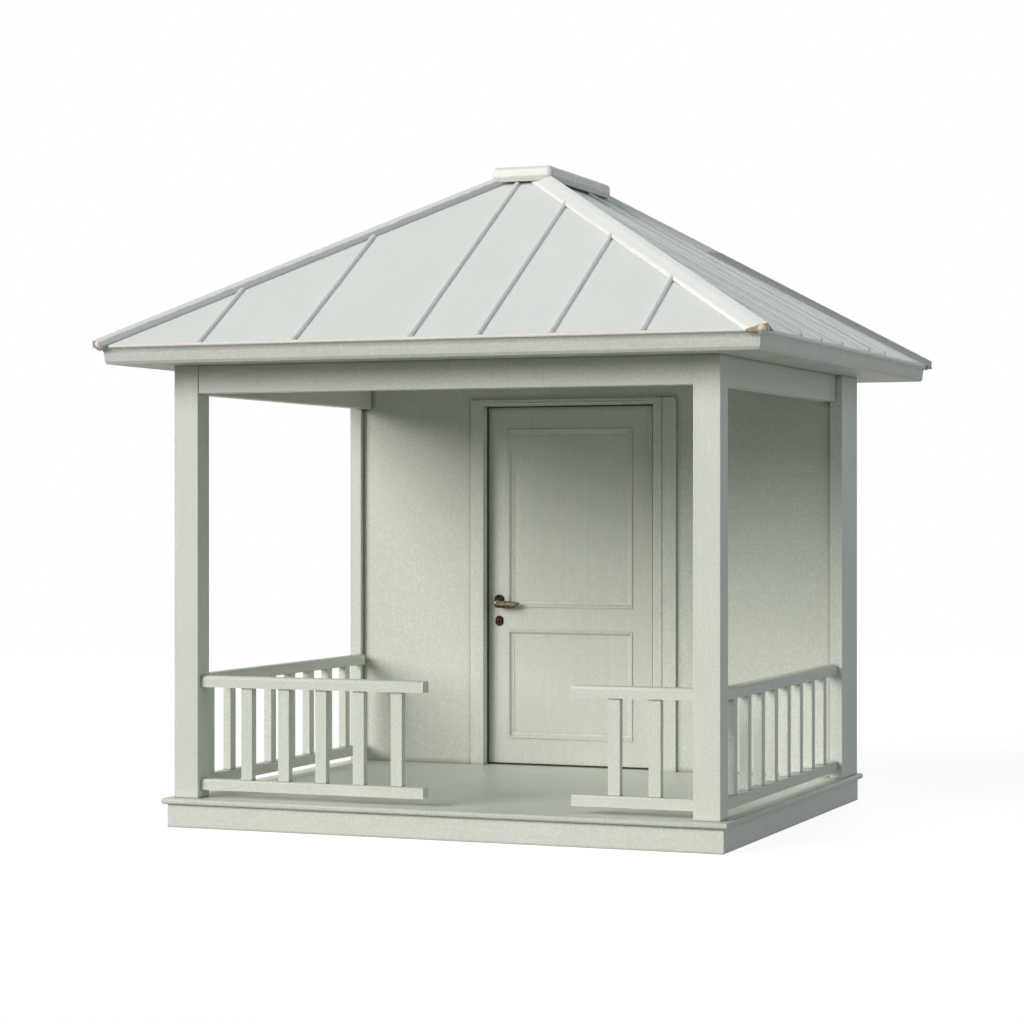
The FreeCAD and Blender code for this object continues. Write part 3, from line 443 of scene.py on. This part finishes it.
addPrism(mesh, [(hingeNear, hingeFront), (hingeFar, hingeFront), (hingeFar, hingeBack),
                (hingeNear, hingeBack)], 2, leafLow.z, leafHigh.z)
finishPiece("door_seal", mesh, rubberAndGapShade, "porch")
mesh = bmesh.new()
sweepFront = leafLow.y + sweep["front"]
sweepBack, sweepFoot = sweepFront + sweep["deep"], leafLow.z - sweep["high"]
addPrism(mesh, [(sweepFront, leafLow.z), (sweepFront, sweepFoot), (sweepBack, sweepFoot),
                (sweepBack, leafLow.z)], 0, leafLow.x + sweep["end"], leafHigh.x - sweep["end"])
finishPiece("door_sweep", mesh, rubberAndGapShade, "door")
print("seal and sweep made")

# A rounded lip under the head casing, painted pale as a painted highlight, as shares of its proud and of its
# height
headLip = {"up": 0.0035, "high": 0.0085, "proud": 0.004, "in": 0.002,
           "nose": ((0.6, 0.0), (1.0, 0.25), (1.0, 0.6), (0.5, 1.0))}
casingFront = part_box("front_casing")[0].y
lipLow = leafHigh.z + headLip["up"]
lipNose = [(casingFront - headLip["proud"] * out, lipLow + headLip["high"] * up)
           for out, up in headLip["nose"]]
mesh = bmesh.new()
addPrism(mesh, [(casingFront + headLip["in"], lipLow), *lipNose,
                (casingFront + headLip["in"], lipLow + headLip["high"])], 0, leafLow.x, leafHigh.x)
finishPiece("head_lip", mesh, highlitLipPaint, "porch")
print("head lip made")

# A raised moulding round each door panel, on both faces: a bead on the leaf and a steep
# ogee down to the panel, as places in from the opening's edge and down from the leaf's face
mouldingSection = ((-0.0060, -0.0001), (-0.0058, -0.0024), (-0.0044, -0.0044), (-0.0018, -0.0054),
                   (0.0010, -0.0052), (0.0034, -0.0040), (0.0064, -0.0012), (0.0100, 0.0024), (0.0136, 0.0058),
                   (0.0168, 0.0074), (0.0230, 0.0082), (0.0290, 0.0090), (0.0150, 0.0080), (0.0002, 0.0040),
                   (0.0002, 0.0001))
panelPlaces = {"left": 0.135, "right": 0.119, "top": 0.140, "bottom": 0.146, "lockRail": 0.143, "upper": 1.002}
panelLow = (leafLow.x + panelPlaces["left"], leafLow.z + panelPlaces["bottom"])
panelHigh = (leafHigh.x - panelPlaces["right"], leafHigh.z - panelPlaces["top"])
upperLow = panelHigh[1] - panelPlaces["upper"]
mesh = bmesh.new()
lowerHigh = (panelHigh[0], upperLow - panelPlaces["lockRail"])
for low, high in (((panelLow[0], upperLow), panelHigh), (panelLow, lowerHigh)):
    for face, inward in ((leafLow.y, 1), (leafHigh.y, -1)):
        addFrame(mesh, low, high, [(inset, face + inward * down) for inset, down in mouldingSection])
finishPiece("panel_mouldings", mesh, mouldPaint, "door")
print("panel mouldings made")

# Flattened grips over the lever's two arms: stations along the arm, with half its height,
# half its depth and how far its middle drops
grip = {"stations": (
    (-0.0160, 0.0080, 0.0050, 0.0090), (-0.0145, 0.0155, 0.0090, 0.0100), (-0.0085, 0.0200, 0.0120, 0.0110),
    (0.0000, 0.0215, 0.0125, 0.0130), (0.0150, 0.0205, 0.0120, 0.0160), (0.0450, 0.0195, 0.0105, 0.0180),
    (0.0850, 0.0190, 0.0090, 0.0190), (0.1030, 0.0175, 0.0078, 0.0190), (0.1100, 0.0135, 0.0070, 0.0170),
    (0.1180, 0.0090, 0.0062, 0.0140), (0.1320, 0.0062, 0.0055, 0.0125), (0.1385, 0.0030, 0.0035, 0.0120)),
    "count": 20, "out": 0.048, "lean": 4.0, "in": 0.076, "lever": 0.930}
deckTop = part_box("deck_floor")[1].z
pivotX = leafLow.x + grip["in"]
pivotZ = deckTop + grip["lever"]
mesh = bmesh.new()
for y, side in ((leafLow.y - grip["out"], 1), (leafHigh.y + grip["out"], -1)):
    lean = Matrix.Rotation(math.radians(side * grip["lean"]), 4, "Z")
    turned = Matrix.Translation((pivotX, y, pivotZ)) @ lean
    loops = [[mesh.verts.new(turned @ Vector((x, deep * math.cos(turn), high * math.sin(turn) - drop)))
              for turn in (2 * math.pi * number / grip["count"] for number in range(grip["count"]))]
             for x, high, deep, drop in grip["stations"]]
    for lower, upper in zip(loops, loops[1:]):
        for here, after in zip(range(grip["count"]), (*range(1, grip["count"]), 0)):
            mesh.faces.new((lower[here], lower[after], upper[after], upper[here]))
    mesh.faces.new(loops[0])
    mesh.faces.new(loops[-1])
smooth(finishPiece("lever_grips", mesh, leverBronze, "lever"))
print("lever grips made")

# Keyways as near-black inlays, painted shade for the key holes, and screws on the plates
lock = {"drop": 0.112, "rosePlate": 0.008, "keyPlate": 0.005, "roseScrew": 0.032, "keyScrew": 0.021,
        "hole": 0.0044, "slot": 0.0019, "slotHigh": 0.0149, "deep": 0.0004, "slotDeep": 0.00036, "sunk": 0.0002,
        "count": 24}
keyZ = pivotZ - lock["drop"]
slotLeft, slotRight, slotFoot = pivotX - lock["slot"], pivotX + lock["slot"], keyZ - lock["slotHigh"]
ways = ((leafLow.y, (0, -1, 0)), (leafHigh.y, (0, 1, 0)))
mesh = bmesh.new()
for face, way in ways:
    hole = ((-lock["sunk"], lock["hole"]), (lock["deep"], lock["hole"]))
    addTurned(mesh, hole, toward((pivotX, face, keyZ), way), lock["count"])
    ends = sorted((face - way[1] * lock["sunk"], face + way[1] * lock["slotDeep"]))
    addPrism(mesh, [(slotLeft, slotFoot), (slotRight, slotFoot), (slotRight, keyZ), (slotLeft, keyZ)], 1, *ends)
finishPiece("keyways", mesh, keyholeShade, "door")
mesh = bmesh.new()
plates = ((pivotZ, lock["rosePlate"], lock["roseScrew"]), (keyZ, lock["keyPlate"], lock["keyScrew"]))
for face, way in ways:
    for z, thick, reach in plates:
        for side in (-1, 1):
            addScrew(mesh, toward((pivotX, face + way[1] * (thick - lock["deep"]), z + side * reach), way))
finishPiece("plate_screws", mesh, plateBronze, "door")
print("lock dressed")

# A cover on each rolled seam with a worn cap on its eave end
seamPlaces = {"front": (0.163, 0.314, 0.493, 0.595, 0.702, 0.833), "side": (0.196, 0.306, 0.428, 0.596, 0.696)}
seamCap = {"round": 0.0165, "cover": 0.0156, "out": 0.004, "in": 0.014, "panel": 0.018, "free": 0.030,
           "taper": 0.003, "count": 24}
frontLow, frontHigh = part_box("roof_front")
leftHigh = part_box("roof_left")[1]
eaveX, eaveY = frontHigh.x, leftHigh.y
eaveZ = frontLow.z + seamCap["panel"]
ridgeX, ridgeZ = -leftHigh.x, frontHigh.z
ridgeFront, ridgeRear = frontHigh.y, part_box("roof_back")[0].y
rise = ridgeZ - eaveZ
feet = []
for side, ridgeY in ((-1, ridgeFront), (1, ridgeRear)):
    way = Vector((0, ridgeY - side * eaveY, rise))
    for share in seamPlaces["front"]:
        x = -side * eaveX * (2 * share - 1)
        reach = min(1.0, (eaveX - abs(x)) / (eaveX - ridgeX))
        feet.append((Vector((x, side * eaveY, eaveZ)), way, reach * way.length - seamCap["free"]))
    way = Vector((side * (ridgeX - eaveX), 0, rise))
    for share in seamPlaces["side"]:
        y = eaveY * (2 * share - 1)
        reach = min(1.0, (y + eaveY) / (ridgeFront + eaveY), (eaveY - y) / (eaveY - ridgeRear))
        feet.append((Vector((side * eaveX, y, eaveZ)), way, reach * way.length - seamCap["free"]))
mesh = bmesh.new()
for foot, way, long in feet:
    size = seamCap["round"]
    addTurned(mesh, ((-seamCap["out"], size * 0.55), (-seamCap["out"] * 0.6, size * 0.85), (0.0, size),
                     (seamCap["in"] * 0.8, size), (seamCap["in"], size * 0.9)), toward(foot, way))
smooth(finishPiece("seam_caps", mesh, wornSheet, "porch"))
mesh = bmesh.new()
for foot, way, long in feet:
    size = seamCap["cover"]
    rings = ((seamCap["in"] * 0.5, size), (long - seamCap["taper"], size), (long, size * 0.7))
    addTurned(mesh, rings, toward(foot, way), seamCap["count"])
smooth(finishPiece("seam_covers", mesh, seamSheet, "porch"))
print("seams covered")

# A thin arched capping over each hip, cut off along both eaves, with a stop in its mouth;
# an arch is given as places out from the hip and up from the slope
capping = {"wide": ((0.0750, 0.0012), (0.0745, 0.0075), (0.0700, 0.0105), (0.0550, 0.0150), (0.0400, 0.0195),
                    (0.0270, 0.0240), (0.0150, 0.0292)),
           "slim": ((0.0440, 0.0012), (0.0435, 0.0080), (0.0400, 0.0125), (0.0340, 0.0175), (0.0265, 0.0220),
                    (0.0180, 0.0260), (0.0100, 0.0298)),
           "crown": 0.0335, "thin": 0.0025, "out": 0.029, "back": 0.002, "lap": 0.03, "foot": 0.0004,
           "shadeFrom": 0.016, "shadeFull": 0.026}
capLow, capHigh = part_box("ridge_cap")


# The two slopes that meet at a hip, each as the way out from the hip and the way square to it
def hipWings(side, y, ridgeY, way):
    wings = []
    frontSquare = Vector((0, math.copysign(rise, y), abs(ridgeY - y)))
    sideSquare = Vector((side * rise, 0, eaveX - ridgeX))
    for square in (frontSquare, sideSquare):
        square.normalize()
        out = way.cross(square)
        wings.append((-out if out.z > 0 else out, square))
    return wings


# One hip's capping, as an arch of sheet with an over and an under side, and its stop
def addCapping(mesh, stops, side, y, ridgeY, arch):
    foot = Vector((side * eaveX, y, eaveZ))
    way = (Vector((side * ridgeX, ridgeY, ridgeZ)) - foot).normalized()
    (frontOut, frontUp), (sideOut, sideUp) = hipWings(side, y, ridgeY, way)
    up = (frontUp + sideUp).normalized()
    eave = (side * (eaveX + capping["out"]), math.copysign(eaveY + capping["out"], y))
    headY = capLow.y + capping["lap"] if y < 0 else capHigh.y - capping["lap"]
    head = (side * (capHigh.x - capping["lap"]), headY)

    def cut(offset, corner, further=0.0):
        reach = max((corner[0] - foot.x - offset.x) / way.x, (corner[1] - foot.y - offset.y) / way.y)
        return foot + offset + way * (reach + further)

    over = [frontOut * out + frontUp * high for out, high in arch] + [up * capping["crown"]]
    over += [sideOut * out + sideUp * high for out, high in reversed(arch)]
    below = [frontOut * out + frontUp * capping["foot"] for out, high in arch] + [up * capping["foot"]]
    below += [sideOut * out + sideUp * capping["foot"] for out, high in reversed(arch)]
    under = [offset - up * capping["thin"] for offset in over]
    overFoot, overHead, underFoot, underHead = (
        [mesh.verts.new(cut(offset, corner)) for offset in line]
        for line in (over, under) for corner in (eave, head))
    sheets = ((overFoot, overHead), (underFoot, underHead), (overFoot, underFoot), (overHead, underHead))
    for here in range(len(over) - 1):
        for one, other in sheets:
            mesh.faces.new((one[here], one[here + 1], other[here + 1], other[here]))
    for here in (0, -1):
        mesh.faces.new((overFoot[here], overHead[here], underHead[here], underFoot[here]))
    upper = [stops.verts.new(cut(offset, eave, capping["back"])) for offset in under]
    lower = [stops.verts.new(cut(offset, eave, capping["back"])) for offset in below]
    for here in range(len(upper) - 1):
        stops.faces.new((upper[here], upper[here + 1], lower[here + 1], lower[here]))


# The slim cappings' coating, with the shade along the left front one's lower edge
leftFoot = Vector((-eaveX, -eaveY, eaveZ))
leftWay = (Vector((-ridgeX, ridgeFront, ridgeZ)) - leftFoot).normalized()
shade = -hipWings(-1, -eaveY, ridgeFront, leftWay)[0][0]
shadeFoot = shade.dot(leftFoot)
slimSheet = paintFinish("slimCappingCoating", {
    **sheetPaint, "grainStretch": allWays, "colour": (0.84, 0.865, 0.84), "cloud": (0.80, 0.83, 0.81),
    "edge": (0.82, 0.82, 0.78),
    "band": {"way": tuple(shade), "low": shadeFoot - capping["shadeFull"],
             "high": shadeFoot - capping["shadeFrom"], "ragged": 0.003, "show": 0.85,
             "colour": (0.36, 0.38, 0.365)}})
wideMesh, slimMesh, stopMesh = bmesh.new(), bmesh.new(), bmesh.new()
addCapping(wideMesh, stopMesh, 1, -eaveY, ridgeFront, capping["wide"])
addCapping(slimMesh, stopMesh, -1, -eaveY, ridgeFront, capping["slim"])
addCapping(slimMesh, stopMesh, 1, eaveY, ridgeRear, capping["slim"])
addCapping(slimMesh, stopMesh, -1, eaveY, ridgeRear, capping["slim"])
smooth(finishPiece("hip_capping_wide", wideMesh, cappingSheet, "porch"))
smooth(finishPiece("hip_cappings_slim", slimMesh, slimSheet, "porch"))
finishPiece("hip_stops", stopMesh, wornBrown, "porch")
print("roof ends made")

# Lights: a wide soft sun from the front left, a fill from the right, and one from the back
# that only the paint's own colour takes up
lights = {
    "sun": {"from": (-0.5415, -0.7535, 0.373), "strength": 2.86, "wide": 35, "colour": (1.0, 0.985, 0.955)},
    "fill": {"from": (0.85, -0.35, 0.40), "strength": 0.74, "wide": 70, "colour": (0.81, 0.95, 1.0)},
    "back": {"from": (-0.13, 0.95, 0.25), "strength": 1.5, "wide": 30, "colour": (0.97, 0.985, 1.0)}}
for name in lights:
    lamp = bpy.data.lights.new(name, "SUN")
    lamp.energy = lights[name]["strength"]
    lamp.angle = math.radians(lights[name]["wide"])
    lamp.color = lights[name]["colour"]
    holder = bpy.data.objects.new(name, lamp)
    holder.rotation_euler = Vector(lights[name]["from"]).to_track_quat("Z", "Y").to_euler()
    holder.visible_glossy = name != "back"
    scene.collection.objects.link(holder)

# A world that is white to the camera and in reflections, and gives no light of its own
world = bpy.data.worlds.new("sky")
world.use_nodes = True
scene.world = world
skyTree = world.node_tree
skyTree.nodes.clear()


# Where a ray comes from the camera, or from gloss
def seenDirectly(tree, path):
    kinds = {0: path.outputs["Is Camera Ray"], 1: path.outputs["Is Glossy Ray"]}
    return addNode(tree, "ShaderNodeMath", kinds, operation="MAXIMUM").outputs[0]


path = skyTree.nodes.new("ShaderNodeLightPath")
kinds = {0: seenDirectly(skyTree, path), 1: path.outputs["Is Transmission Ray"]}
seen = addNode(skyTree, "ShaderNodeMath", kinds, operation="MAXIMUM").outputs[0]
plain = addNode(skyTree, "ShaderNodeBackground", {"Color": (0, 0, 0, 1), "Strength": 0.0})
white = addNode(skyTree, "ShaderNodeBackground", {"Color": (1, 1, 1, 1), "Strength": 1.0})
mixed = addNode(skyTree, "ShaderNodeMixShader", {"Fac": seen, 1: plain.outputs[0], 2: white.outputs[0]})
addNode(skyTree, "ShaderNodeOutputWorld", {"Surface": mixed.outputs[0]})

# Floor: white to the camera with a pale shadow, and a duller bounce for the object
floor = {"reach": 16.0, "under": 0.0005, "count": 96, "colour": (0.32, 0.33, 0.315), "paper": 0.90,
         "shadow": 0.24}
mesh = bmesh.new()
bmesh.ops.create_circle(mesh, cap_ends=True, segments=floor["count"], radius=floor["reach"])
floorData = bpy.data.meshes.new("floor")
mesh.to_mesh(floorData)
mesh.free()
floorPiece = bpy.data.objects.new("floor", floorData)
floorPiece.location.z = -floor["under"]
scene.collection.objects.link(floorPiece)
floorMaterial = bpy.data.materials.new("floorPaper")
floorMaterial.use_nodes = True
floorTree = floorMaterial.node_tree
floorTree.nodes.clear()
path = floorTree.nodes.new("ShaderNodeLightPath")
seen = seenDirectly(floorTree, path)
dull = addNode(floorTree, "ShaderNodeBsdfDiffuse", {"Color": opaque(floor["colour"])})
shaded = addNode(floorTree, "ShaderNodeBsdfDiffuse", {"Color": opaque((floor["shadow"],) * 3)})
glow = addNode(floorTree, "ShaderNodeEmission", {"Color": (1, 1, 1, 1), "Strength": floor["paper"]})
paper = addNode(floorTree, "ShaderNodeAddShader", {0: shaded.outputs[0], 1: glow.outputs[0]})
mixed = addNode(floorTree, "ShaderNodeMixShader", {"Fac": seen, 1: dull.outputs[0], 2: paper.outputs[0]})
addNode(floorTree, "ShaderNodeOutputMaterial", {"Surface": mixed.outputs[0]})
floorData.materials.append(floorMaterial)
scene.view_settings.view_transform = "Standard"
print("lights and floor ready")
